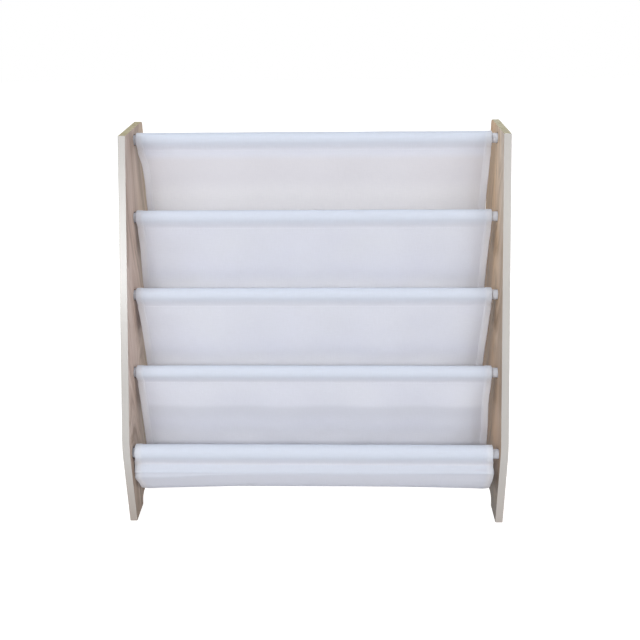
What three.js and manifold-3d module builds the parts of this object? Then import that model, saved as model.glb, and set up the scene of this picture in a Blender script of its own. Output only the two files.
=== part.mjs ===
// A low bookshelf for a child's room: two board sides, five round rods and a canvas sling
// that hangs between the rods as four pockets.
// Millimetres, +Z up. X runs from side to side and Y from front to back.
// The origin is on the floor, under the middle of the bookshelf.
import * as THREE from 'three';
import { mergeVertices } from 'three/addons/utils/BufferGeometryUtils.js';
import Module from 'manifold-3d';

const wasm = await Module();
wasm.setup();

// Board sides
const overallWidth = 620;
const sideHeight = 608;
const sideDepth = 300;
const boardThickness = 12;
const topDepth = 128;         // flat top edge, from the back to the sloping front edge
const uprightHeight = 137;    // where the front edge starts to lean back
const uprightBlend = 90;      // radius of that bend
const topCornerRadius = 7;
const footLength = 48;
const archHeight = 17;
const archRadius = 17;

// Pale band glued along each front edge
const bandThickness = 1;
const bandGlue = 0.2;

// Rods, evenly spaced in height. All but the lowest lie on a slanting line.
const rodCount = 5;
const rodDiameter = 16;
const rodWall = 1.2;
const topRodDrop = 19;        // from the top of the sides to the centre of the top rod
const topRodSetback = 67;     // from the back of the sides to the centre of the top rod
const slantEndSetback = 83;   // from the front of the sides to the last rod on the slant
const lowestRodSetback = 23;  // from the front of the sides to the centre of the lowest rod
const lowestRodHeight = 118;

// Blind hole for each rod end in the inner face of a side
const seatClearance = 1.5;    // round the rod
const seatDepth = 6;

// Threaded insert in each rod end
const insertLength = 26;
const insertFlange = 1.5;
const insertFit = 0.2;

// Countersunk screw through the side into the insert
const screwDiameter = 5;
const screwLength = 32;
const screwHeadDiameter = 10;
const screwHeadHeight = 2.6;
const screwRim = 0.4;         // short straight edge of the head
const screwSink = 0.3;        // head below the outer face
const screwFit = 0.2;
const socketAcrossFlats = 3;
const socketDepth = 1.8;

// Canvas sling
const canvasThickness = 1.5;
const sleeveThickness = 2.4;  // two layers of canvas round the rod
const slingGapLeft = 4;       // from the inner face of the left side to the canvas
const slingGapRight = 8;      // the sling sits a little to the left on the rods
const seamDrop = 23;          // from the centre of a rod to the seam under it
const seamWeb = 4;            // sewn flat part of a sleeve, above the seam
const pocketDrop = 71.5;      // from the centre of the front rod to the bottom of its pocket
const pocketRadius = 22;      // round bottom of a pocket
const pocketSetback = 26;     // from the front rod back to the centre of that round
const creaseDrop = 40;        // from the centre of the front rod to the crease in the front
const creaseSetback = 2;
const seamDepth = 1.5;        // upright stretch of the front just under its seam
const lastPocketSetback = 20;
const lastShoulderDrop = 27;  // the front of the last pocket stands out, down to its crease
const lastShoulderLead = 9;
const lastCreaseDrop = 33.5;
const lastCreaseLead = 11;
const edgeDrawIn = 4.5;       // how far each free side edge is drawn in, halfway down the back
const edgeCurl = 5;           // how far the side edges curl forward
const edgeCurlWidth = 60;
const foldDepth = 2.2;        // soft upright folds across the back of each pocket
const foldSpacing = 145;

const touchGap = 0.3;         // between pieces that rest on each other
const overrun = 1;            // how far a cutter runs past the face that it cuts

// Resolution
const roundSegments = 20;
const smallSegments = 12;
const sleeveSegments = 14;
const blendSegments = 6;
const backSegments = 9;
const bottomSegments = 7;
const widthSegments = 14;

// Colours and finish
const paint = (color, roughness, metalness = 0) => ({ color, roughness, metalness });
const boardFinish = paint(0xb89c84, 0.55);
const bandFinish = paint(0xe6e2dc, 0.4);
const rodFinish = paint(0xe8eaee, 0.35, 0.1);
const insertFinish = paint(0xd8d8d6, 0.5);
const screwFinish = paint(0xb9bcc0, 0.35, 1);
const canvasFinish = paint(0xe4e5ea, 0.9);

const frontY = -sideDepth / 2;
const backY = sideDepth / 2;
const innerX = overallWidth / 2 - boardThickness;
const seatX = innerX + seatDepth;
const rodRadius = rodDiameter / 2;

const slingWidth = 2 * innerX - slingGapLeft - slingGapRight;
const slingMiddleX = (slingGapLeft - slingGapRight) / 2;

// Centres of the rods in the side view, from the top one down
const topRodZ = sideHeight - topRodDrop;
const rodStepDown = (topRodZ - lowestRodHeight) / (rodCount - 1);
const topRodY = backY - topRodSetback;
const slantEndY = frontY + slantEndSetback;
const rodStepForward = (topRodY - slantEndY) / (rodCount - 2);
const rods = Array.from({ length: rodCount }, (_, index) => ({
  y: index < rodCount - 1 ? topRodY - index * rodStepForward : frontY + lowestRodSetback,
  z: topRodZ - index * rodStepDown,
}));

const bookshelf = new THREE.Group();
bookshelf.name = 'sling_bookshelf';

function addPiece(name, geometry, finish) {
  const mesh = new THREE.Mesh(geometry, new THREE.MeshStandardMaterial(finish));
  mesh.name = name;
  bookshelf.add(mesh);
  return mesh;
}

// Keeps only positions, joins shared corners and turns the faces outward
function closedBody(geometry) {
  const bare = geometry.index ? geometry.toNonIndexed() : geometry.clone();
  bare.deleteAttribute('normal');
  bare.deleteAttribute('uv');
  const body = mergeVertices(dropSlivers(bare));
  const position = body.attributes.position;
  const corners = body.index.array;
  const a = new THREE.Vector3();
  const b = new THREE.Vector3();
  const c = new THREE.Vector3();
  let volume = 0;
  for (let i = 0; i < corners.length; i += 3) {
    a.fromBufferAttribute(position, corners[i]);
    b.fromBufferAttribute(position, corners[i + 1]);
    c.fromBufferAttribute(position, corners[i + 2]);
    volume += a.dot(b.cross(c));
  }
  if (volume < 0) {
    for (let i = 0; i < corners.length; i += 3) {
      [corners[i], corners[i + 1]] = [corners[i + 1], corners[i]];
    }
  }
  return body;
}

// Leaves out triangles with two corners in one place, as at the axis of a turned shape
function dropSlivers(geometry) {
  const source = geometry.attributes.position.array;
  const kept = [];
  const same = (i, j) => [0, 1, 2].every((k) => Math.abs(source[i + k] - source[j + k]) < 1e-6);
  for (let i = 0; i < source.length; i += 9) {
    if (!same(i, i + 3) && !same(i + 3, i + 6) && !same(i, i + 6)) {
      kept.push(...source.slice(i, i + 9));
    }
  }
  const result = new THREE.BufferGeometry();
  result.setAttribute('position', new THREE.Float32BufferAttribute(kept, 3));
  return result;
}

function toSolid(geometry) {
  const body = closedBody(geometry);
  return new wasm.Manifold(new wasm.Mesh({
    numProp: 3,
    vertProperties: new Float32Array(body.attributes.position.array),
    triVerts: new Uint32Array(body.index.array),
  }));
}

function fromSolid(solid) {
  const mesh = solid.getMesh();
  const geometry = new THREE.BufferGeometry();
  geometry.setAttribute('position', new THREE.BufferAttribute(mesh.vertProperties, 3));
  geometry.setIndex(new THREE.BufferAttribute(mesh.triVerts, 1));
  return geometry;
}

// An outline in the side view (Y, Z), extruded along X from `x` for `length`
function extrudeAlongX(shape, x, length, curveSegments = blendSegments) {
  const geometry = new THREE.ExtrudeGeometry(shape, {
    depth: length, bevelEnabled: false, curveSegments,
  });
  const sideView = new THREE.Matrix4().makeBasis(
    new THREE.Vector3(0, 1, 0), new THREE.Vector3(0, 0, 1), new THREE.Vector3(1, 0, 0),
  );
  return geometry.applyMatrix4(sideView).translate(x, 0, 0);
}

// A profile of [radius, distance along X] pairs, turned round the X axis
function turnedAlongX(profile, segments) {
  const points = profile.map(([radius, along]) => new THREE.Vector2(radius, along));
  return new THREE.LatheGeometry(points, segments).rotateZ(-Math.PI / 2);
}

// The front edge of a side, moved inward by `inset`: upright, a wide bend, then leaning back
function frontEdge(inset) {
  const leanRun = sideDepth - topDepth;
  const lean = Math.atan2(leanRun, sideHeight - uprightHeight);
  const radius = uprightBlend - inset;
  const centreY = frontY + uprightBlend;
  const centreZ = uprightHeight - uprightBlend * Math.tan(lean / 2);
  const topY = centreY + (Math.sin(lean) * (sideHeight - centreZ) - radius) / Math.cos(lean);
  return { startY: frontY + inset, centreY, centreZ, radius, lean, topY };
}

function drawFrontEdgeUp(shape, edge) {
  shape.moveTo(edge.startY, 0);
  shape.lineTo(edge.startY, edge.centreZ);
  shape.absarc(edge.centreY, edge.centreZ, edge.radius, Math.PI, Math.PI - edge.lean, true);
  shape.lineTo(edge.topY, sideHeight);
}

function sideOutline() {
  const shape = new THREE.Shape();
  drawFrontEdgeUp(shape, frontEdge(bandThickness + bandGlue));
  shape.lineTo(backY - topCornerRadius, sideHeight);
  shape.absarc(backY - topCornerRadius, sideHeight - topCornerRadius, topCornerRadius, Math.PI / 2, 0, true);
  shape.lineTo(backY, 0);
  shape.lineTo(backY - footLength, 0);
  const archTop = archHeight - archRadius;
  const rearArcY = backY - footLength - archRadius;
  const frontArcY = frontY + footLength + archRadius;
  shape.absarc(rearArcY, archTop, archRadius, 0, Math.PI / 2, false);
  shape.absarc(frontArcY, archTop, archRadius, Math.PI / 2, Math.PI, false);
  shape.lineTo(frontY + footLength, 0);
  return shape;
}

function bandOutline() {
  const outer = frontEdge(0);
  const inner = frontEdge(bandThickness);
  const shape = new THREE.Shape();
  drawFrontEdgeUp(shape, outer);
  shape.lineTo(inner.topY, sideHeight);
  shape.absarc(inner.centreY, inner.centreZ, inner.radius, Math.PI - inner.lean, Math.PI, false);
  shape.lineTo(inner.startY, 0);
  return shape;
}

// The blind rod hole, the screw hole and the countersink, for the right side at one rod
function seatCutter() {
  const outerX = overallWidth / 2;
  const boreRadius = rodRadius + seatClearance;
  const screwHole = screwDiameter / 2 + screwFit;
  const headRadius = screwHeadDiameter / 2 + screwFit;
  const coneX = outerX - screwSink - screwRim - screwHeadHeight;
  return turnedAlongX([
    [0, innerX - overrun],
    [boreRadius, innerX - overrun],
    [boreRadius, seatX],
    [screwHole, seatX],
    [screwHole, coneX - touchGap],
    [headRadius, outerX - screwSink - screwRim - touchGap],
    [headRadius, outerX + overrun],
    [0, outerX + overrun],
  ], roundSegments);
}

function rightSide() {
  let side = toSolid(extrudeAlongX(sideOutline(), innerX, boardThickness));
  for (const rod of rods) {
    side = side.subtract(toSolid(seatCutter().translate(0, rod.y, rod.z)));
  }
  return fromSolid(side);
}

function rodTube() {
  const inner = rodRadius - rodWall;
  const halfLength = seatX - touchGap - insertFlange - touchGap;
  return turnedAlongX([
    [inner, -halfLength], [rodRadius, -halfLength], [rodRadius, halfLength],
    [inner, halfLength], [inner, -halfLength],
  ], roundSegments);
}

// The right-hand insert: a body inside the tube and a flange against the bottom of the seat
function rightInsert() {
  const outerX = seatX - touchGap;
  const shoulderX = outerX - insertFlange;
  const bodyRadius = rodRadius - rodWall - insertFit;
  const bore = screwDiameter / 2 + screwFit;
  return turnedAlongX([
    [bore, shoulderX - insertLength], [bodyRadius, shoulderX - insertLength],
    [bodyRadius, shoulderX], [rodRadius, shoulderX], [rodRadius, outerX],
    [bore, outerX], [bore, shoulderX - insertLength],
  ], smallSegments);
}

function rightScrew() {
  const faceX = overallWidth / 2 - screwSink;
  const shank = screwDiameter / 2;
  const head = screwHeadDiameter / 2;
  const blank = turnedAlongX([
    [0, faceX - screwLength], [shank, faceX - screwLength],
    [shank, faceX - screwRim - screwHeadHeight], [head, faceX - screwRim], [head, faceX], [0, faceX],
  ], smallSegments);
  const cornerRadius = socketAcrossFlats / 2 / Math.cos(Math.PI / 6);
  const socket = turnedAlongX([
    [0, faceX - socketDepth], [cornerRadius, faceX - socketDepth],
    [cornerRadius, faceX + overrun], [0, faceX + overrun],
  ], 6);
  return fromSolid(toSolid(blank).subtract(toSolid(socket)));
}

// Angle, seen from the centre of a circle, at which a line from (y, z) touches it.
// `turn` is 1 for the tangent on the counter-clockwise side and -1 for the other.
function tangentAngle(y, z, radius, turn) {
  return Math.atan2(z, y) + turn * Math.acos(radius / Math.hypot(y, z));
}

// Points round the top of a rod, from the back to the front, between the two lines
// that run down to (halfFoot, -drop) and (-halfFoot, -drop)
function loopOverRod(radius, halfFoot, drop) {
  const start = tangentAngle(halfFoot, -drop, radius, 1);
  const end = Math.PI - start;
  return Array.from({ length: sleeveSegments + 1 }, (_, i) => {
    const angle = start + (end - start) * i / sleeveSegments;
    return new THREE.Vector2(radius * Math.cos(angle), radius * Math.sin(angle));
  });
}

// A sleeve hangs round its rod and closes to a flat sewn web just above the seam
function sleeveOutline() {
  const inner = rodRadius + touchGap;
  const halfFoot = canvasThickness + touchGap / 2;
  const outline = loopOverRod(inner + sleeveThickness, halfFoot, seamDrop);
  outline.push(new THREE.Vector2(-halfFoot, -seamDrop), new THREE.Vector2(halfFoot, -seamDrop));
  const hole = loopOverRod(inner, 0, seamDrop - seamWeb);
  hole.push(new THREE.Vector2(0, seamWeb - seamDrop));
  const shape = new THREE.Shape(outline);
  shape.holes.push(new THREE.Path(hole));
  return shape;
}

// Side view of the middle of a pocket's canvas: down the back from the rod behind, round
// the bottom, up to the crease and on to the seam of the rod in front
function pocketPath(rodBehind, rodInFront, isLast) {
  const layerOffset = (canvasThickness + touchGap) / 2;
  const start = new THREE.Vector2(rodBehind.y - layerOffset, rodBehind.z - seamDrop - touchGap);
  const endOffset = isLast ? -layerOffset : layerOffset;
  const end = new THREE.Vector2(rodInFront.y + endOffset, rodInFront.z - seamDrop - touchGap);
  const underSeam = new THREE.Vector2(end.x, end.y - seamDepth);
  const shoulder = new THREE.Vector2(
    rodInFront.y - lastShoulderLead, rodInFront.z - lastShoulderDrop,
  );
  const crease = isLast
    ? new THREE.Vector2(rodInFront.y - lastCreaseLead, rodInFront.z - lastCreaseDrop)
    : new THREE.Vector2(end.x + creaseSetback, rodInFront.z - creaseDrop);
  const front = isLast ? [crease, shoulder, underSeam, end] : [crease, underSeam, end];
  const centre = new THREE.Vector2(
    rodInFront.y + (isLast ? lastPocketSetback : pocketSetback),
    rodInFront.z - pocketDrop + pocketRadius,
  );
  const rear = new THREE.Vector2(centre.x + pocketRadius, centre.y);
  const fall = start.y - rear.y;
  const upperHandleShare = 0.6;
  const lowerHandleShare = 0.3;
  const back = new THREE.CubicBezierCurve(
    start, new THREE.Vector2(start.x, start.y - fall * upperHandleShare),
    new THREE.Vector2(rear.x, rear.y + fall * lowerHandleShare), rear,
  ).getSpacedPoints(backSegments);
  const lastAngle = tangentAngle(crease.x - centre.x, crease.y - centre.y, pocketRadius, 1) - 2 * Math.PI;
  const bottom = Array.from({ length: bottomSegments }, (_, i) => {
    const angle = lastAngle * (i + 1) / bottomSegments;
    return new THREE.Vector2(
      centre.x + pocketRadius * Math.cos(angle), centre.y + pocketRadius * Math.sin(angle),
    );
  });
  return { points: [...back, ...bottom, ...front], backCount: back.length };
}

// How far down the back a point is, as 0 at the seam, 1 halfway down and 0 at the bottom
function hang(index, backCount) {
  return index < backCount ? Math.sin(Math.PI * index / (backCount - 1)) : 0;
}

// A pocket: a sheet along the path, drawn in at the free edges, which curl forward,
// with soft upright folds between them
function pocketGeometry(path) {
  const { points, backCount } = path;
  const rows = points.length;
  const columns = widthSegments + 1;
  const faces = [1, -1];
  const vertices = [];
  for (const face of faces) {
    points.forEach((point, row) => {
      const before = points[Math.max(row - 1, 0)];
      const after = points[Math.min(row + 1, rows - 1)];
      const along = after.clone().sub(before).normalize();
      const normal = new THREE.Vector2(-along.y, along.x);
      const amount = hang(row, backCount);
      const halfWidth = slingWidth / 2 - edgeDrawIn * amount;
      for (let column = 0; column < columns; column += 1) {
        const across = halfWidth * (2 * column / widthSegments - 1);
        const fromEdge = halfWidth - Math.abs(across);
        const curl = edgeCurl * Math.max(0, 1 - fromEdge / edgeCurlWidth) ** 2;
        const fold = foldDepth * Math.cos(2 * Math.PI * across / foldSpacing);
        const forward = amount * (curl + fold);
        vertices.push(
          slingMiddleX + across,
          point.x - forward + face * normal.x * canvasThickness / 2,
          point.y + face * normal.y * canvasThickness / 2,
        );
      }
    });
  }
  const at = (face, row, column) => (face * rows + row) * columns + column;
  const indices = [];
  const quad = (a, b, c, d) => indices.push(a, b, c, a, c, d);
  for (let row = 0; row < rows - 1; row += 1) {
    for (let column = 0; column < columns - 1; column += 1) {
      quad(at(0, row, column), at(0, row, column + 1), at(0, row + 1, column + 1), at(0, row + 1, column));
      quad(at(1, row, column), at(1, row + 1, column), at(1, row + 1, column + 1), at(1, row, column + 1));
    }
    const last = columns - 1;
    quad(at(0, row, 0), at(0, row + 1, 0), at(1, row + 1, 0), at(1, row, 0));
    quad(at(0, row, last), at(1, row, last), at(1, row + 1, last), at(0, row + 1, last));
  }
  for (let column = 0; column < columns - 1; column += 1) {
    const last = rows - 1;
    quad(at(0, 0, column), at(1, 0, column), at(1, 0, column + 1), at(0, 0, column + 1));
    quad(at(0, last, column), at(0, last, column + 1), at(1, last, column + 1), at(1, last, column));
  }
  const geometry = new THREE.BufferGeometry();
  geometry.setAttribute('position', new THREE.Float32BufferAttribute(vertices, 3));
  geometry.setIndex(indices);
  return closedBody(geometry);
}

// The same piece on the other side of the bookshelf
function mirrored(geometry) {
  return closedBody(geometry.clone().scale(-1, 1, 1));
}

// Sides and their front bands
const side = rightSide();
const band = closedBody(extrudeAlongX(bandOutline(), innerX, boardThickness));
addPiece('side_panel_right', side, boardFinish);
addPiece('side_panel_left', mirrored(side), boardFinish);
addPiece('front_edge_band_right', band, bandFinish);
addPiece('front_edge_band_left', mirrored(band), bandFinish);

// Rods with their inserts and screws
const tube = closedBody(rodTube());
const insert = closedBody(rightInsert());
const screw = rightScrew();
rods.forEach((rod, index) => {
  const number = index + 1;
  const fittings = [
    addPiece(`rod_${number}`, tube, rodFinish),
    addPiece(`rod_insert_right_${number}`, insert, insertFinish),
    addPiece(`rod_insert_left_${number}`, mirrored(insert), insertFinish),
    addPiece(`screw_right_${number}`, screw, screwFinish),
    addPiece(`screw_left_${number}`, mirrored(screw), screwFinish),
  ];
  fittings.forEach((mesh) => mesh.position.set(0, rod.y, rod.z));
});

// Canvas: a sleeve round each rod and a pocket between each rod and the next
const sleeve = closedBody(extrudeAlongX(sleeveOutline(), slingMiddleX - slingWidth / 2, slingWidth));
rods.forEach((rod, index) => {
  addPiece(`sling_sleeve_${index + 1}`, sleeve, canvasFinish).position.set(0, rod.y, rod.z);
});
rods.slice(1).forEach((rodInFront, index) => {
  const path = pocketPath(rods[index], rodInFront, index === rodCount - 2);
  addPiece(`sling_pocket_${index + 1}`, pocketGeometry(path), canvasFinish);
});

export default bookshelf;
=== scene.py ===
"""Looks of the sling bookshelf: grained board sides with pale front strips, white rods and one
long strip of canvas, sewn round every rod, that hangs as four pockets."""
import math

import bmesh
import bpy
import numpy as np
from mathutils import Matrix, Vector, noise


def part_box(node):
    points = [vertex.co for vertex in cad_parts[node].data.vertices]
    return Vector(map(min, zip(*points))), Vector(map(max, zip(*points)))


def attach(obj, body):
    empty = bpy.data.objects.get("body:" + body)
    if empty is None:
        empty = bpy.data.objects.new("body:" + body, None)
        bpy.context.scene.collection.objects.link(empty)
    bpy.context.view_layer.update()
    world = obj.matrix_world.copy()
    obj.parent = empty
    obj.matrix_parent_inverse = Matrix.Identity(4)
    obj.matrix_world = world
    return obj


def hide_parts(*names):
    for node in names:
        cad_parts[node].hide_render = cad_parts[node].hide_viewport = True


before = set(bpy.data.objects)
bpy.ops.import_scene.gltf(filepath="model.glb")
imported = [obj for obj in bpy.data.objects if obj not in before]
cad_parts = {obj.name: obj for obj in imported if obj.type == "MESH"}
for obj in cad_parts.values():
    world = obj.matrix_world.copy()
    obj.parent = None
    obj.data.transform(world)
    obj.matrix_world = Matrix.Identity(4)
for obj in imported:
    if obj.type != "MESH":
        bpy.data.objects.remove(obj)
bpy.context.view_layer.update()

# Units: the scene is in metres, and sizes below are written in millimetres times MM
MM = 0.001

# Sides, as in the solids
TOP_DEPTH = 128 * MM
UPRIGHT_HEIGHT = 137 * MM
UPRIGHT_BLEND = 90 * MM
TOP_CORNER = 7 * MM
FOOT_LENGTH = 48 * MM
ARCH_HEIGHT = 17 * MM
BAND_THICKNESS = 1 * MM
BAND_GLUE = 0.2 * MM
SEAT_RADIUS = 9.5 * MM
SEAT_DEPTH = 6 * MM
BOARD_EDGE_ROUND = 0.5 * MM
BAND_EDGE_ROUND = 0.3 * MM

# Rods and screws
ROD_WALL = 1.2 * MM
ROD_END_ROUND = 0.4 * MM
SCREW_HOLE = 2.7 * MM
SCREW_SHANK = 2.5 * MM
SCREW_HEAD = 5 * MM
SCREW_LENGTH = 32 * MM
SCREW_CONE = 2.6 * MM
SCREW_RIM = 0.4 * MM
SCREW_SINK = 0.3 * MM
SCREW_FIT = 0.2 * MM
COUNTERSINK_GAP = 0.3 * MM
SOCKET_FLATS = 3 * MM
SOCKET_DEPTH = 1.8 * MM
SCREW_EDGE_ROUND = 0.15 * MM
CUT_OVERRUN = 1 * MM
SEAT_MARGIN = 0.2 * MM
FACE_MARGIN = 0.6 * MM

# Canvas
CANVAS = 1.0 * MM
SIDE_HEM = 10 * MM
SIDE_HEM_EXTRA = 0.9 * MM
END_HEM = 6 * MM
END_HEM_EXTRA = 0.3 * MM
SLEEVE_EXTRA = 0.5 * MM
LAYER_GAP = 1.3 * MM
HALF_GAP = LAYER_GAP / 2
WEB = 1.5 * MM
SEAM_LEAD = 5 * MM
SEAM_DROPS = [drop * MM for drop in (17, 18, 18.5, 16.5, 17.5)]
SLEEVE_RADII = [10.2 * MM] * 4 + [11.6 * MM]
SLEEVE_LIFTS = [0.2 * MM] * 4 + [2.2 * MM]
SLEEVE_JOIN = math.radians(-18)
POCKET_DROP = 71.5 * MM
POCKET_RADIUS = 22 * MM
POCKET_SETBACK = 21 * MM
CREASE_DROP = 35 * MM
CREASE_SETBACK = 1.5 * MM
CREASE_ROUND = 2.5 * MM
LAST_RADIUS = 28 * MM
LAST_CENTRE = (22.7 * MM, -44.8 * MM)
LAST_CREASE = (-11 * MM, -33.5 * MM)
LAST_SHOULDER = (-9.4 * MM, -28 * MM)
LAST_CREASE_TILT = (-6.5 * MM, 4 * MM)
LAST_FLAP = 24 * MM
FORWARD_LEANS = [math.radians(degrees) for degrees in (3, 5, 7, 10)]
FOLD_DEPTH = 2.4 * MM
FOLD_SPACING = 145 * MM
FOLD_SHIFT = 0.7
BOTTOM_DROOP = (4.5 * MM, 2.5 * MM)

# How far the side edges of the canvas are drawn in, left and right, in millimetres: at the ends
# of the sleeves, at the seams, and on each pocket under its seam and lower down
SLEEVE_DRAW = (0.5, 2)
SEAM_DRAW = (1.5, 2)
LAST_SEAM_DRAW = (-2, 0)
UPPER_DRAW = [(7, 3), (3, 4), (4, 4), (3, 4)]
LOWER_DRAW = [(10, 6), (3, 7), (8, 9), (6, 3)]
# The same on the rising front and at the crease
FRONT_DRAW = [(4, 4), (2, 2)]
LAST_FRONT_DRAW = [(2, 1), (-3, -1.5)]
# Where along a pocket these hold: seam, two shares of its back, bottom, front, crease, seam
DRAW_STATIONS = [0, 0.15, 0.6, 1, 1.35, 1.8, 2]
# Where the hem's values hold along a pocket, counted in the same way
STATIONS = [0, 0.05, 0.12, 0.2, 0.3, 0.45, 0.6, 1, 1.35, 1.8, 2]
# How far the hem stands forward there, and how far back the cloth beside it lies
HEM_RISE = [0, 0.6, 1.2, 1.8, 2.2, 2.4, 2.4, 1.5, 0.8, 0.4, 0]
HEM_VALLEY = [0, 0.4, 0.8, 1.2, 1.5, 1.8, 1.8, 1.0, 0.5, 0, 0]
VALLEY_WIDTH = 20 * MM

# The step of the side hems, the reach of edges and puckers, and the height of the waves
HEM_STEP = (0.8 * MM, 1.2 * MM)
EDGE_REACH = 50 * MM
PUCKER_REACH = 9 * MM
BROAD_WAVE = 1.1 * MM
SMALL_WAVE = 0.35 * MM
GATHER_WAVE = 0.45 * MM
SLEEVE_WAVE = 0.5 * MM
RIM_BULGE = 0.35
# Bends of the side view, the height over a rod's middle from which its sleeve changes into the
# web, and the part of that way on which the sleeve's edges move to the seam's
WEB_RISE = 3.5 * MM
SLEEVE_INTO = 6 * MM
SHOULDER_OUT = (0.6 * MM, 2.8 * MM)
SEAM_INTO = 5.2 * MM
FIRST_FLAP_LEAN = 0.8 * MM
SLEEVE_END_START = 2 * MM
SLEEVE_DRAW_END = (0.3, 0.6)
# Waves of the cloth: how many to a metre across and along it, and where their noise is read
BROAD = (7, 9, 1.3)
SMALL = (24, 30, 7.7)
GATHERS = (75, 14, 4.1)
RIPPLES = (9, 1, 2.2)

# Rows of the cloth in each stretch of its side view, its columns in millimetres from an edge,
# and how many columns lie between these
HEM_ROWS = 7
WEB_ROWS = 4
RISE_ROWS = 10
OVER_ROWS = 34
BACK_ROWS = 60
BOTTOM_ROWS = 24
RISING_ROWS = 16
BEND_ROWS = 6
CLOSING_ROWS = 7
LAST_ROWS = 24
FLAP_ROWS = 10
EDGE_COLUMNS = [0, 0.5, 1.5, 3, 5, 7, 8.6, 9.4, 10, 10.6, 11.4, 12.6, 14.5, 17, 20]
EDGE_COLUMNS += [23.5, 27.5, 32, 37, 43]
MIDDLE_COLUMNS = 72

# Stretches of a pocket, on the scale of its stations: where each comes and goes, and over
# what length
HANG = ((0, 0.3), (0.6, 0.4))
DROOP = ((0.7, 0.4), (1.5, 0.3))
CREASE = ((1.5, 0.3), (1.85, 0.15))
# The rest place painted light and shade on the cloth: the cool tone of the last pocket's front, the
# warmer first sheet, the lighter foot of each sheet and the dimmer last pocket.
COOL_START = (1.7, 0.15)
COOL_SHARE = 0.7
FIRST_TONE = ((0.02, 0.1), (0.9, 1))
FOOT_START = (0.48, 0.2)
FIRST_FOOT_START = (0.28, 0.26)
FOOT_END = (0.76, 0.12)
DIM_START = (0.25, 0.06)
DIM_LESS = (0.34, 0.16)
DIM_LOSS = 0.7
DIM_END = (0.8, 0.1)
DIM_AGAIN = (1.1, 0.1)
DIM_FRONT = 0.5
# The same across the cloth, as a share of its half width
LAST_TILT_REACH = (0.35, 0.65)

STITCH_PITCH = 4.2 * MM
STITCH_LENGTH = 3.0 * MM
STITCH_RADIUS = 0.32 * MM
STITCH_AHEAD = 1 * MM
STITCH_RISE = 0.3
STITCH_FLATNESS = 0.7
STITCH_RINGS = [(-0.5, 0.35), (-0.36, 0.85), (0, 1), (0.36, 0.85), (0.5, 0.35)]
HEM_STITCH_LINE = 7 * MM

# Materials: relief of their fine grain, and the sizes of their patterns
GRAIN_RELIEF = 0.12 * MM
STRIP_RELIEF = 0.06 * MM
PAINT_RELIEF = 0.03 * MM
PLASTIC_RELIEF = 0.04 * MM
ZINC_RELIEF = 0.02 * MM
THREAD_RELIEF = 0.05 * MM
WEAVE_RELIEF = 0.22 * MM
CREASE_RELIEF = 1.1 * MM
THREAD_PITCH = 1.1 * MM
BAND_SHARE = 0.68
# Painted shade on the boards: how far the edges of its ramps wander, and the depth that the ramp behind
# the front edge spans; how high the front strips' painted shade reaches; and how the hems' painted
# light blends in over their line.
SHADE_WANDER = 30 * MM
SHADE_DEPTH = 200 * MM
STRIP_SHADE_REACH = 120 * MM
HEM_BLEND = (3 * MM, 4 * MM)

# Camera, solved from the photograph
CAMERA_PLACE = (0.04602, -1.34688, 0.88022)
CAMERA_PITCH = math.radians(23.268)
CAMERA_YAW = math.radians(-1.6436)
CAMERA_ROLL = math.radians(-0.69)
CAMERA_LENS = 48.92
CAMERA_SENSOR = 36

# Floor: half its width, how far it lies under the feet, and its glow near and far
FLOOR_HALF = 5
FLOOR_DROP = 0.4 * MM
GLOW_NEAR = (0.5, 0.8)
GLOW_FAR = (1.6, 1.0)

# Light: the sky's strength, then lamps with place, target, width, watts and colour
AMBIENT = 0.24
LAMPS = {
    "left": ((-1.5, -1.85, 1.35), (0, 0, 0.3), 1.7, 19, (1.0, 1.0, 1.0)),
    "right": ((1.5, -1.85, 1.35), (0, 0, 0.3), 1.7, 26, (1.0, 0.985, 0.96)),
    "front": ((-0.85, -2.2, 1.25), (-0.1, 0, 0.33), 0.8, 18, (1.0, 1.0, 1.0)),
    "top": ((0.0, 0.3, 2.3), (0, 0, 0.3), 1.6, 13, (0.94, 0.97, 1.0)),
    "back": ((0.4, 2.2, 1.1), (0, 0, 0.3), 1.6, 7, (1.0, 1.0, 1.0)),
}


# helpers for nodes


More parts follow.
